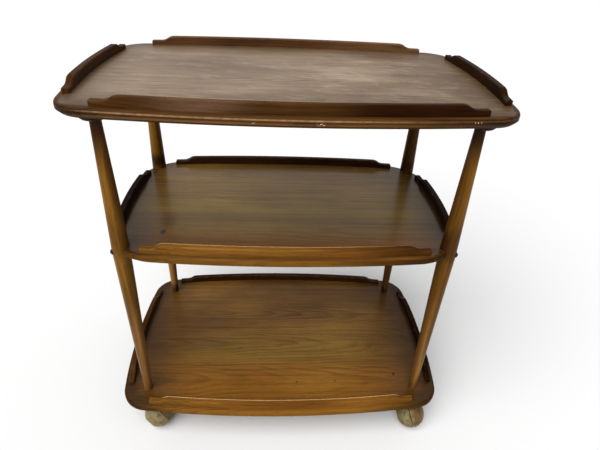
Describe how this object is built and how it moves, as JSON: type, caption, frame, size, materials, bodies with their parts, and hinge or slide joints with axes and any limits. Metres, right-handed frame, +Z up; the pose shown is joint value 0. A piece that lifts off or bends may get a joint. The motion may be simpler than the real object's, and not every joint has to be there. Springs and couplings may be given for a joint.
{
  "type": "bar cart",
  "caption": "Mid-century wooden bar cart: bowed trays with ogee-ended gallery rails on turned tapering legs, rolling on hooded ball casters.",
  "frame": {"origin": "centre of the bounding box in plan, on the floor", "axes": "+X to the right along the long sides, +Y from the pictured front to the back, +Z up"},
  "size_m": [0.71, 0.4458, 0.756],
  "materials": {
    "tray_wood": "glossy worn lacquer over brown-stained wood",
    "rail_wood": "glossy worn lacquer, rubbed bright along the edges",
    "leg_wood": "glossy lacquered turned wood",
    "cap_plastic": "dark domed caps",
    "hood_metal": "aged lacquered bronze colour",
    "wheel_metal": "worn pale grey-beige",
    "tyre_rubber": "matt grey-beige band",
    "steel": "plain zinc-plated steel"
  },
  "bodies": {
    "frame": {"top_tray": "tray_wood", "top_gallery_front": "rail_wood", "top_gallery_back": "rail_wood", "top_gallery_left": "rail_wood", "top_gallery_right": "rail_wood", "middle_tray": "tray_wood", "middle_gallery_front": "rail_wood", "middle_gallery_back": "rail_wood", "middle_gallery_left": "rail_wood", "middle_gallery_right": "rail_wood", "bottom_tray": "tray_wood", "bottom_gallery_front": "rail_wood", "bottom_gallery_back": "rail_wood", "bottom_gallery_left": "rail_wood", "bottom_gallery_right": "rail_wood", "front_left_leg": "leg_wood", "front_left_leg_pad": "leg_wood", "front_right_leg": "leg_wood", "front_right_leg_pad": "leg_wood", "back_left_leg": "leg_wood", "back_left_leg_pad": "leg_wood", "back_right_leg": "leg_wood", "back_right_leg_pad": "leg_wood", "middle_tray_screws": "steel", "screw_caps": "cap_plastic", "front_left_caster_plate": "steel", "front_left_swivel_pin": "steel", "front_right_caster_plate": "steel", "front_right_swivel_pin": "steel", "back_left_caster_plate": "steel", "back_left_swivel_pin": "steel", "back_right_caster_plate": "steel", "back_right_swivel_pin": "steel", "caster_plate_screws": "steel"},
    "front_left_fork": {"front_left_hood": "hood_metal", "front_left_axle": "steel"},
    "front_left_roller": {"front_left_wheel": "wheel_metal", "front_left_tyre": "tyre_rubber"},
    "front_right_fork": {"front_right_hood": "hood_metal", "front_right_axle": "steel"},
    "front_right_roller": {"front_right_wheel": "wheel_metal", "front_right_tyre": "tyre_rubber"},
    "back_left_fork": {"back_left_hood": "hood_metal", "back_left_axle": "steel"},
    "back_left_roller": {"back_left_wheel": "wheel_metal", "back_left_tyre": "tyre_rubber"},
    "back_right_fork": {"back_right_hood": "hood_metal", "back_right_axle": "steel"},
    "back_right_roller": {"back_right_wheel": "wheel_metal", "back_right_tyre": "tyre_rubber"}
  },
  "joints": [
    {"name": "front_left_swivel", "type": "hinge", "parent": "frame", "child": "front_left_fork", "pos_m": [-0.292, -0.157, 0.0735], "axis": [0, 0, 1], "continuous": true},
    {"name": "front_left_roll", "type": "hinge", "parent": "front_left_fork", "child": "front_left_roller", "pos_m": [-0.27208, -0.17371, 0.031], "axis": [-0.604, -0.7198, -0.342], "continuous": true},
    {"name": "front_right_swivel", "type": "hinge", "parent": "frame", "child": "front_right_fork", "pos_m": [0.292, -0.157, 0.0735], "axis": [0, 0, 1], "continuous": true},
    {"name": "front_right_roll", "type": "hinge", "parent": "front_right_fork", "child": "front_right_roller", "pos_m": [0.29109, -0.18298, 0.031], "axis": [-0.9391, 0.0328, -0.342], "continuous": true},
    {"name": "back_left_swivel", "type": "hinge", "parent": "frame", "child": "back_left_fork", "pos_m": [-0.292, 0.157, 0.0735], "axis": [0, 0, 1], "continuous": true},
    {"name": "back_left_roll", "type": "hinge", "parent": "back_left_fork", "child": "back_left_roller", "pos_m": [-0.2806, 0.13363, 0.031], "axis": [-0.8446, -0.4119, -0.342], "continuous": true},
    {"name": "back_right_swivel", "type": "hinge", "parent": "frame", "child": "back_right_fork", "pos_m": [0.292, 0.157, 0.0735], "axis": [0, 0, 1], "continuous": true},
    {"name": "back_right_roll", "type": "hinge", "parent": "back_right_fork", "child": "back_right_roller", "pos_m": [0.29741, 0.13157, 0.031], "axis": [-0.9192, -0.1954, -0.342], "continuous": true}
  ]
}
